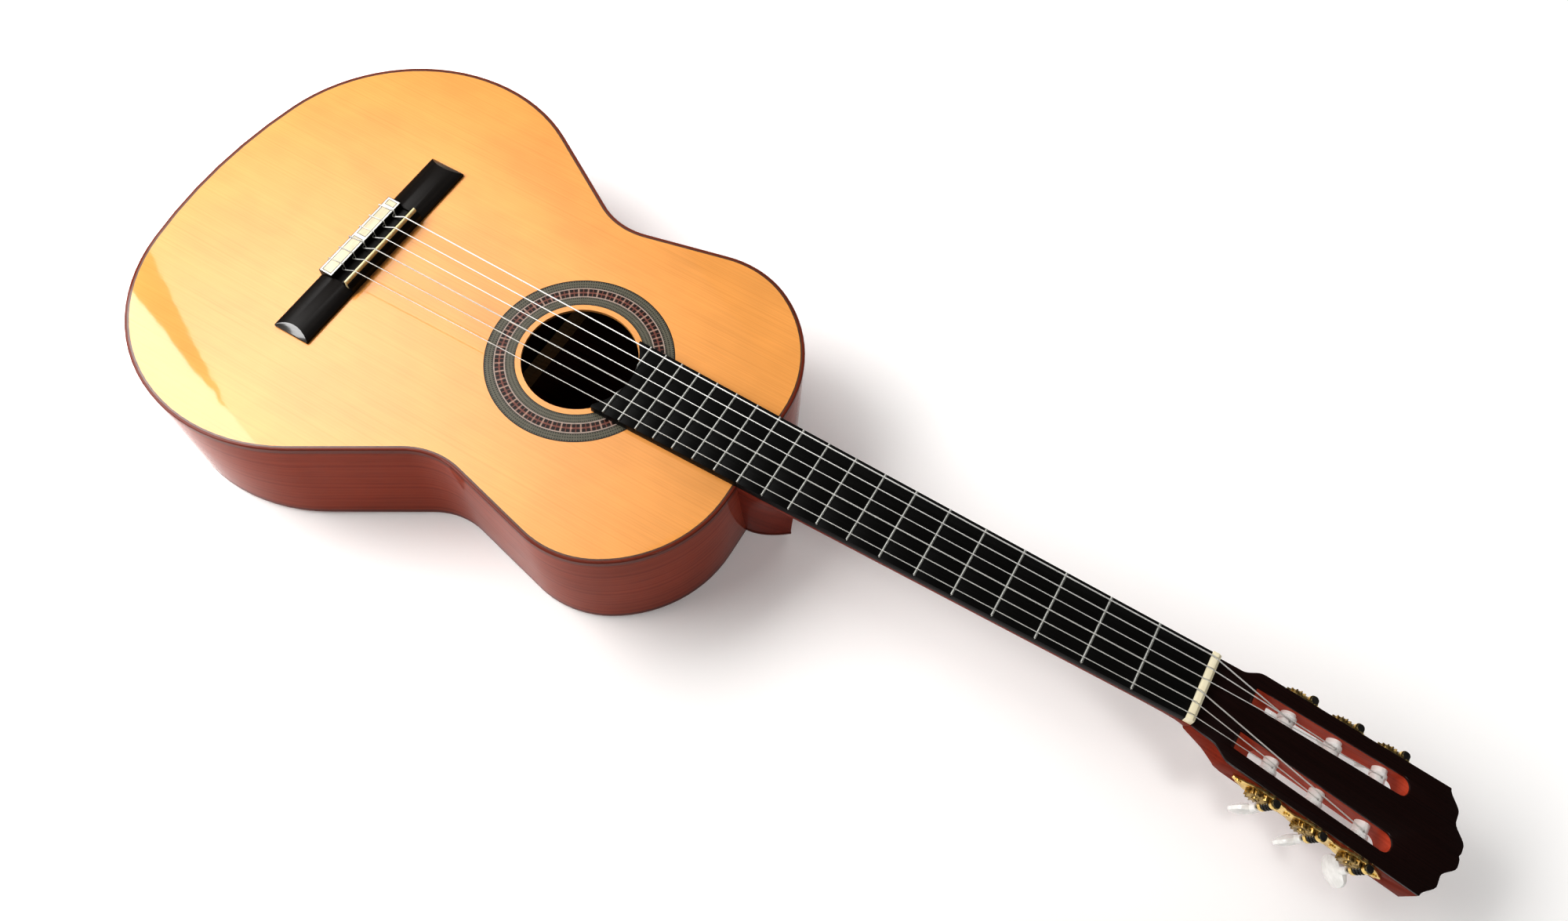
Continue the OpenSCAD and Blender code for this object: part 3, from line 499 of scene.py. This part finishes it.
def rosetteTicks(tree, radius, turn, s):
    teeth = mathNode(tree, "FRACT", mathNode(tree, "MULTIPLY", turn, s["ticks"]))
    edges = 0.0
    for low, high in s["tickRings"]:
        edges = mathNode(tree, "ADD", between(tree, radius, low, high), edges)
    return mathNode(tree, "MULTIPLY", edges, mathNode(tree, "GREATER_THAN", teeth, 0.5))


def rosetteTiles(tree, radius, turn, s):
    # dark blocks cut by a red cross, between them a pale and a dim bar in turn, with a gem on each
    cells = mathNode(tree, "MULTIPLY", turn, s["tiles"])
    across = mathNode(tree, "FRACT", cells)
    pair = mathNode(tree, "FLOORED_MODULO", mathNode(tree, "FLOOR", cells), 2.0)
    fromMiddle = distanceFrom(tree, mapRange(tree, radius, s["tileInner"], s["tileOuter"]), 0.5)
    fromBar = distanceFrom(tree, across, s["barAt"])
    redLine = mathNode(tree, "LESS_THAN", fromMiddle, s["redLine"])
    redBar = mathNode(tree, "LESS_THAN", distanceFrom(tree, across, s["heartAt"]), s["redBar"])
    block = mixColour(tree, mathNode(tree, "MAXIMUM", redLine, redBar), s["blockTone"], s["redTone"])
    bar = mixColour(tree, pair, s["paleBar"], s["dimBar"])
    tile = mixColour(tree, mathNode(tree, "LESS_THAN", fromBar, s["barHalf"]), block, bar)
    lozenge = mathNode(tree, "MULTIPLY_ADD", fromMiddle, s["gemLean"], fromBar)
    return mixColour(tree, mathNode(tree, "LESS_THAN", lozenge, s["gemReach"]), tile, s["gemTone"])


def rosetteMaterial(name, s):
    made, tree, shader, place = newMaterial(name, Coat_Weight=s["coat"], Coat_Roughness=s["coatRough"],
                                            IOR=grainSet["ior"], Specular_IOR_Level=s["sheen"])
    source = (place, "Object")
    centred = addNode(tree, "ShaderNodeMapping", {"Vector": source, "Location": (-s["centre"], 0, 0)})
    xyz = parts(tree, (centred, "Vector"))
    square = mathNode(tree, "MULTIPLY", (xyz, "X"), (xyz, "X"))
    square = mathNode(tree, "MULTIPLY_ADD", (xyz, "Y"), (xyz, "Y"), square)
    radius = mathNode(tree, "SQRT", square)
    angle = mathNode(tree, "ARCTAN2", (xyz, "Y"), (xyz, "X"))
    turn = mathNode(tree, "MULTIPLY_ADD", angle, 1 / math.tau, 0.5)  # 0 to 1 once round
    ticks = rosetteTicks(tree, radius, turn, s)
    banded = mixColour(tree, ticks, rosetteRings(tree, radius, s), s["tickTone"])
    inTiles = between(tree, radius, s["tileInner"], s["tileOuter"])
    pattern = mixColour(tree, inTiles, banded, rosetteTiles(tree, radius, turn, s))
    grain = noise(tree, stretched(tree, source, s["grain"]))
    tone = mapRange(tree, grain, *s["grainEdges"], *s["grainTones"])
    wire(tree, scaled(tree, pattern, tone), shader, "Base Color")
    surface = useGroup(tree, "finishVariation", {"Vector": source, "Base": s["rough"], "Spread": s["spread"]})
    wire(tree, (surface, "Roughness"), shader, "Roughness")
    rippleCoat(tree, shader, source, lacquerSet)
    return made


# one-tone finishes with a faint mottle between two near tones; plainUsual holds what most of them share
plainUsual = {"coat": 0.0, "coatRough": 0.05, "metal": 0.0, "ior": 1.5, "clear": 0.0, "spread": 0.1,
              "stretch": (200.0, 60.0, 200.0), "detail": 3.0, "grit": 0.6, "from": 0.35, "to": 0.68,
              "relief": 0.03, "depth": 0.0002}
plainSet = {
    "bone": {"tone": (0.90, 0.83, 0.62, 1), "second": (0.82, 0.73, 0.50, 1), "rough": 0.32},
    "agedBone": {"tone": (0.82, 0.73, 0.44, 1), "second": (0.74, 0.63, 0.34, 1), "rough": 0.32},
    "whiteInlay": {"tone": (0.70, 0.69, 0.65, 1), "second": (0.60, 0.59, 0.54, 1), "rough": 0.28,
                   "coat": 0.4},
    "creamInlay": {"tone": (0.66, 0.58, 0.40, 1), "second": (0.55, 0.46, 0.29, 1), "rough": 0.3,
                   "coat": 0.4},
    "nylon": {"tone": (0.86, 0.85, 0.81, 1), "second": (0.76, 0.75, 0.71, 1), "rough": 0.3, "ior": 1.45,
              "clear": 0.5},
    "woundMetal": {"tone": (0.80, 0.79, 0.76, 1), "second": (0.64, 0.63, 0.60, 1), "rough": 0.45,
                   "metal": 0.5, "stretch": (3000.0, 40.0, 40.0), "relief": 0.4},
    "stringTurns": {"tone": (0.95, 0.945, 0.92, 1), "second": (0.88, 0.87, 0.84, 1), "rough": 0.35},
    "fretMetal": {"tone": (0.60, 0.60, 0.56, 1), "second": (0.48, 0.48, 0.45, 1), "rough": 0.5, "metal": 1.0,
                  "stretch": (60.0, 2500.0, 60.0)},
    "barrelWhite": {"tone": (0.93, 0.92, 0.89, 1), "second": (0.87, 0.86, 0.82, 1), "rough": 0.3,
                    "coat": 0.2},
    "pearl": {"tone": (0.89, 0.88, 0.85, 1), "second": (0.76, 0.75, 0.72, 1), "rough": 0.25, "coat": 0.4,
              "stretch": (160.0, 160.0, 260.0)},
    "goldPlate": {"tone": (0.90, 0.68, 0.27, 1), "second": (0.55, 0.36, 0.12, 1), "rough": 0.3, "metal": 1.0,
                  "stretch": (260.0, 260.0, 260.0), "from": 0.45, "to": 0.75},
    # gear brass: partly aged, and partly painted shade, darker than the plates' gold
    "agedBrassPaintedShade": {"tone": (0.50, 0.35, 0.13, 1), "second": (0.16, 0.11, 0.05, 1), "rough": 0.36, "metal": 1.0,
                  "stretch": (420.0, 420.0, 420.0), "from": 0.4, "to": 0.62},
    "blackEnamel": {"tone": (0.012, 0.011, 0.010, 1), "second": (0.03, 0.026, 0.022, 1), "rough": 0.22,
                    "coat": 0.6, "stretch": (400.0, 400.0, 400.0)},
    "purfling": {"tone": (0.075, 0.026, 0.012, 1), "second": (0.12, 0.045, 0.02, 1), "rough": 0.35,
                 "coat": 0.3},
}


def plainMaterial(name, own):
    s = {**plainUsual, **own}
    made, tree, shader, place = newMaterial(
        name, Coat_Weight=s["coat"], Coat_Roughness=s["coatRough"], Metallic=s["metal"], IOR=s["ior"],
        Transmission_Weight=s["clear"])
    source = (place, "Object")
    streak = noise(tree, stretched(tree, source, s["stretch"]), 1.0, s["detail"], s["grit"])
    mask = mapRange(tree, streak, s["from"], s["to"])
    wire(tree, mixColour(tree, mask, s["tone"], s["second"]), shader, "Base Color")
    surface = useGroup(tree, "finishVariation", {"Vector": source, "Base": s["rough"], "Spread": s["spread"]})
    wire(tree, (surface, "Roughness"), shader, "Roughness")
    bump(tree, shader, streak, s["relief"], s["depth"])
    return made


woodFigureGroup(figureSet)
poreGroup(poreSet)
finishGroup(marksSet)
finishes = {name: woodMaterial(name, s) for name, s in woodSet.items()}
finishes.update({name: plainMaterial(name, s) for name, s in plainSet.items()})
finishes["rosetteInlay"] = rosetteMaterial("rosetteInlay", rosetteSet)
print("finishes:", len(finishes))

# CAD nodes that keep their own shape
keptSet = {
    "soundboard": "spruceTop", "rosette": "rosetteInlay", "mosaic": "rosetteInlay",
    "top_purfling": "purfling", "linings": "innerWood", "tail_block": "innerWood",
    "foot_block": "innerWood", "fan_braces": "innerWood", "harmonic_bars": "innerWood",
    "back_braces": "innerWood", "tie_frames": "whiteInlay", "tie_panels": "creamInlay",
}
for name, finish in keptSet.items():
    dress(nodes[name], finishes[finish])


def stringFinish(k):
    return "nylon" if k < 4 else "woundMetal"  # three plain, three wound


# CAD nodes carried over with rounded edges and smooth curves: piece, finish, bevel width, smoothing angle
carriedSet = {
    "bass_side": ("bassSide", "sideMahogany", 0, 25),
    "treble_side": ("trebleSide", "sideMahogany", 0, 25),
    "back_bass_half": ("backBassHalf", "backMahogany", 0, 25),
    "back_treble_half": ("backTrebleHalf", "backMahogany", 0, 25),
    "back_strip": ("backStrip", "bindingWood", 0, 25),
    "bindings": ("bodyBindings", "bindingWood", 0, 25),
    "neck": ("neckShaft", "neckMahogany", 0, 40),
    "heel_cap": ("heelCap", "bindingWood", 0.0005, 30),
    "headstock": ("headBlank", "neckMahogany", 0.0004, 25),
    "head_veneer": ("headFace", "headVeneer", 0.0004, 25),
    "fretboard": ("fingerboard", "ebonyBoard", 0.0003, 30),
    "frets": ("fretWires", "fretMetal", 0, 35),
    "nut": ("nutBone", "bone", 0.0003, 30),
    "saddle": ("saddleBone", "agedBone", 0.0002, 35),
    "bridge": ("bridgeBlock", "bridgeWood", 0.0005, 30),
    "plate_bass": ("plateBass", "goldPlate", 0.0003, 30),
    "plate_treble": ("plateTreble", "goldPlate", 0.0003, 30),
    "plate_screws": ("plateScrews", "goldPlate", 0.00015, 30),
}
for k in stringNumbers:
    carriedSet[f"string_{k}"] = (f"string{k}Wire", stringFinish(k), 0, 60)
    carriedSet[f"roller_{k}"] = (f"barrel{k}", "barrelWhite", 0.0003, 30)
    # the gears take the darkened brass: partly age, partly painted shade
    carriedSet[f"gear_{k}"] = (f"gearWheel{k}", "agedBrassPaintedShade", 0.00012, 30)
    carriedSet[f"worm_{k}"] = (f"wormScrew{k}", "blackEnamel", 0, 50)
    carriedSet[f"button_{k}"] = (f"pearlButton{k}", "pearl", 0.0006, 30)
mergeSet = {"near": 2e-6, "flat": 0.2, "bevelSteps": 2, "bevelAngle": 30}


def carryOver(nodeName, pieceName, bevel, shade):
    # a merged copy of a CAD node that can be rounded and smoothed
    piece = bpy.data.objects.new(pieceName, nodes[nodeName].data.copy())
    bpy.context.scene.collection.objects.link(piece)
    pick(piece)
    bpy.ops.mesh.customdata_custom_splitnormals_clear()
    editAll(piece)
    bpy.ops.mesh.remove_doubles(threshold=mergeSet["near"])
    bpy.ops.mesh.dissolve_limited(angle_limit=math.radians(mergeSet["flat"]))
    objectMode()
    if bevel:
        addModifier(piece, "BEVEL", width=bevel, segments=mergeSet["bevelSteps"], limit_method="ANGLE",
                    angle_limit=math.radians(mergeSet["bevelAngle"]), use_clamp_overlap=True,
                    harden_normals=False)
    smooth(piece, shade)
    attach(piece, bodyOf[nodeName])
    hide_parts(nodeName)
    return piece


pieces = {}
for name, (piece, finish, bevel, shade) in carriedSet.items():
    pieces[name] = carryOver(name, piece, bevel, shade)
    dress(pieces[name], finishes[finish])
print("carried over:", len(carriedSet), "pieces")

# the body's walls: every rib faces away from the middle
wallSet = {"middle": Vector((-0.2, 0.0, 0.0)), "upright": 0.3, "level": 0.5,
           "topAbove": 0.09, "backBelow": 0.04, "edge": 0.0009, "edgeSteps": 3, "shade": 40}


def facesOut(face):
    away = face.center - wallSet["middle"]
    return abs(face.normal.z) < wallSet["upright"] and face.normal.x * away.x + face.normal.y * away.y > 0


def turnOf(place):
    return math.atan2(abs(place.y), place.x - wallSet["middle"].x)


def mapAlongRib(obj, layer):
    # own UV: length along the outline, and height
    mesh = obj.data
    outline = {}
    for face in mesh.polygons:
        if facesOut(face):
            for v in face.vertices:
                place = mesh.vertices[v].co
                outline[round(turnOf(place), 4)] = Vector((place.x, abs(place.y)))
    angles = sorted(outline)
    lengths = [0.0]
    for a, b in zip(angles, angles[1:]):
        lengths.append(lengths[-1] + (outline[b] - outline[a]).length)
    uv = mesh.uv_layers.new(name=layer).data
    for loop in mesh.loops:
        place = mesh.vertices[loop.vertex_index].co
        angle = turnOf(place)
        k = min(max(bisect.bisect_left(angles, angle), 1), len(angles) - 1)
        part = (angle - angles[k - 1]) / max(angles[k] - angles[k - 1], 1e-6)
        uv[loop.index].uv = (lengths[k - 1] + part * (lengths[k] - lengths[k - 1]), place.z)


def wallSide(face):
    if facesOut(face):
        return "out"
    if abs(face.normal.z) > wallSet["level"]:
        return "up" if face.normal.z > 0 else "down"
    return "in"


def roundOuterEdges(obj):
    # bevel where the outer wall meets the top or the back
    mesh = obj.data
    sides = {}
    for face in mesh.polygons:
        for key in face.edge_keys:
            sides.setdefault(key, set()).add(wallSide(face))
    wanted = set()
    for key, found in sides.items():
        height = mesh.vertices[key[0]].co.z
        if found == {"out", "up"} and height > wallSet["topAbove"]:
            wanted.add(key)
        if found == {"out", "down"} and height < wallSet["backBelow"]:
            wanted.add(key)
    selectEdges(obj, wanted)
    bpy.ops.mesh.bevel(offset=wallSet["edge"], segments=wallSet["edgeSteps"], affect="EDGES")
    objectMode()
    smooth(obj, wallSet["shade"])


def dressSome(obj, material, wanted):
    # a second material on the faces that pass the test
    obj.data.materials.append(material)
    for face in obj.data.polygons:
        if wanted(face):
            face.material_index = 1


def looksIn(face):
    return wallSide(face) == "up" or (abs(face.normal.z) < wallSet["upright"] and not facesOut(face))


for name in ("bass_side", "treble_side"):
    mapAlongRib(pieces[name], "ribMap")
# the inner faces of the ribs and back take the darkened bare mahogany: painted shade inside the body
for name in ("bass_side", "treble_side", "back_bass_half", "back_treble_half"):
    dressSome(pieces[name], finishes["bareMahoganyPaintedShade"], looksIn)
roundOuterEdges(pieces["bindings"])

# the walls and ramps of the two string slots, found in the head's own tilted frame
slotSet = {"tilt": math.radians(12.0), "middle": 0.01516, "spread": 0.0352, "half": 0.0068, "from": 0.026,
           "to": 0.1495, "faceUp": 0.95, "ramp": -0.002, "under": -0.5}
headRoot = max((v.co for v in nodes["head_veneer"].data.vertices), key=lambda place: place.z).copy()


def inSlot(face):
    s = slotSet
    x, y, z = face.center.x - headRoot.x, face.center.y, face.center.z - headRoot.z
    along = x * math.cos(s["tilt"]) - z * math.sin(s["tilt"])
    rise = x * math.sin(s["tilt"]) + z * math.cos(s["tilt"])
    aside = abs(abs(y) - s["middle"] - s["spread"] * along)
    up = face.normal.x * math.sin(s["tilt"]) + face.normal.z * math.cos(s["tilt"])
    inside = aside < s["half"] and s["from"] < along < s["to"]
    return inside and up > s["under"] and (up < s["faceUp"] or rise < s["ramp"])


dressSome(pieces["headstock"], finishes["slotMahogany"], inSlot)

# the sloped, polished ends of the bridge's wings
wingSet = {"from": 0.08, "slope": (0.3, 0.9)}


def onWingEnd(face):
    low, high = wingSet["slope"]
    return abs(face.center.y) > wingSet["from"] and low < abs(face.normal.y) < high


dressSome(pieces["bridge"], finishes["bridgeEnd"], onWingEnd)
print("ribs, bindings, slots and wings dressed")

# string turns on the rollers: closed rings, so they look the same at every angle
turnsSet = {"barrel": 0.00495, "gap": 0.00005, "slotMiddle": -0.017, "first": 0.0004, "pitch": 2.06,
            "steps": 40, "sides": 8, "shade": 60, "turns": (4, 4, 4, 3, 3, 3),
            "radius": (0.000355, 0.00041, 0.00051, 0.00037, 0.000445, 0.000545)}


def spunRing(name, thin, reach, middle, axis, steps):
    # a round profile spun once about an axis: one closed turn of string
    aside = axis.orthogonal().normalized()
    deselectAll()
    upright = axis.cross(aside).to_track_quat("Z", "Y").to_euler()
    bpy.ops.mesh.primitive_circle_add(vertices=turnsSet["sides"], radius=thin,
                                      location=middle + aside * reach, rotation=upright)
    ring = bpy.context.active_object
    ring.name = name
    bpy.ops.object.transform_apply(location=True, rotation=True, scale=True)
    editAll(ring)
    bpy.ops.mesh.spin(steps=steps, angle=math.tau, center=middle, axis=axis)
    bpy.ops.mesh.select_all(action="SELECT")
    bpy.ops.mesh.remove_doubles(threshold=mergeSet["near"])
    bpy.ops.mesh.normals_make_consistent(inside=False)
    objectMode()
    return ring


def finishTurns(obj, material, body):
    smooth(obj, turnsSet["shade"])
    dress(obj, material)
    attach(obj, body)


for k in stringNumbers:
    joint = joints[f"roller_turn_{k}"]
    axis = Vector(joint["axis"])
    r = turnsSet["radius"][k - 1]
    middle = Vector(joint["pos_m"]) + axis * (turnsSet["slotMiddle"] + turnsSet["first"] + 2 * r)
    reach = turnsSet["barrel"] + turnsSet["gap"] + r
    winding = spunRing(f"winding{k}", r, reach, middle, axis, turnsSet["steps"])
    addModifier(winding, "ARRAY", count=turnsSet["turns"][k - 1], use_relative_offset=False,
                use_constant_offset=True, constant_offset_displace=axis * turnsSet["pitch"] * r)
    finishTurns(winding, finishes["stringTurns"], f"winder_{k}")
print("windings on the rollers")

# each string's own loop round it, in front of the tie block
loopSet = {"behind": 0.0131, "level": 0.1090, "first": -0.0281, "step": 0.0116, "lean": math.radians(62.0),
           "reach": 0.00125, "thin": 0.85, "steps": 24}
saddleLow, saddleHigh = boxOf("saddle")
loopAxis = Vector((math.sin(loopSet["lean"]), 0.0, math.cos(loopSet["lean"])))
for k in stringNumbers:
    middle = Vector(((saddleLow.x + saddleHigh.x) / 2 - loopSet["behind"],
                     loopSet["first"] + loopSet["step"] * (k - 1), loopSet["level"]))
    thin = turnsSet["radius"][k - 1] * loopSet["thin"]
    loop = spunRing(f"tieLoop{k}", thin, loopSet["reach"], middle, loopAxis, loopSet["steps"])
    finishTurns(loop, finishes[stringFinish(k)], "guitar")
print("loops at the tie block")
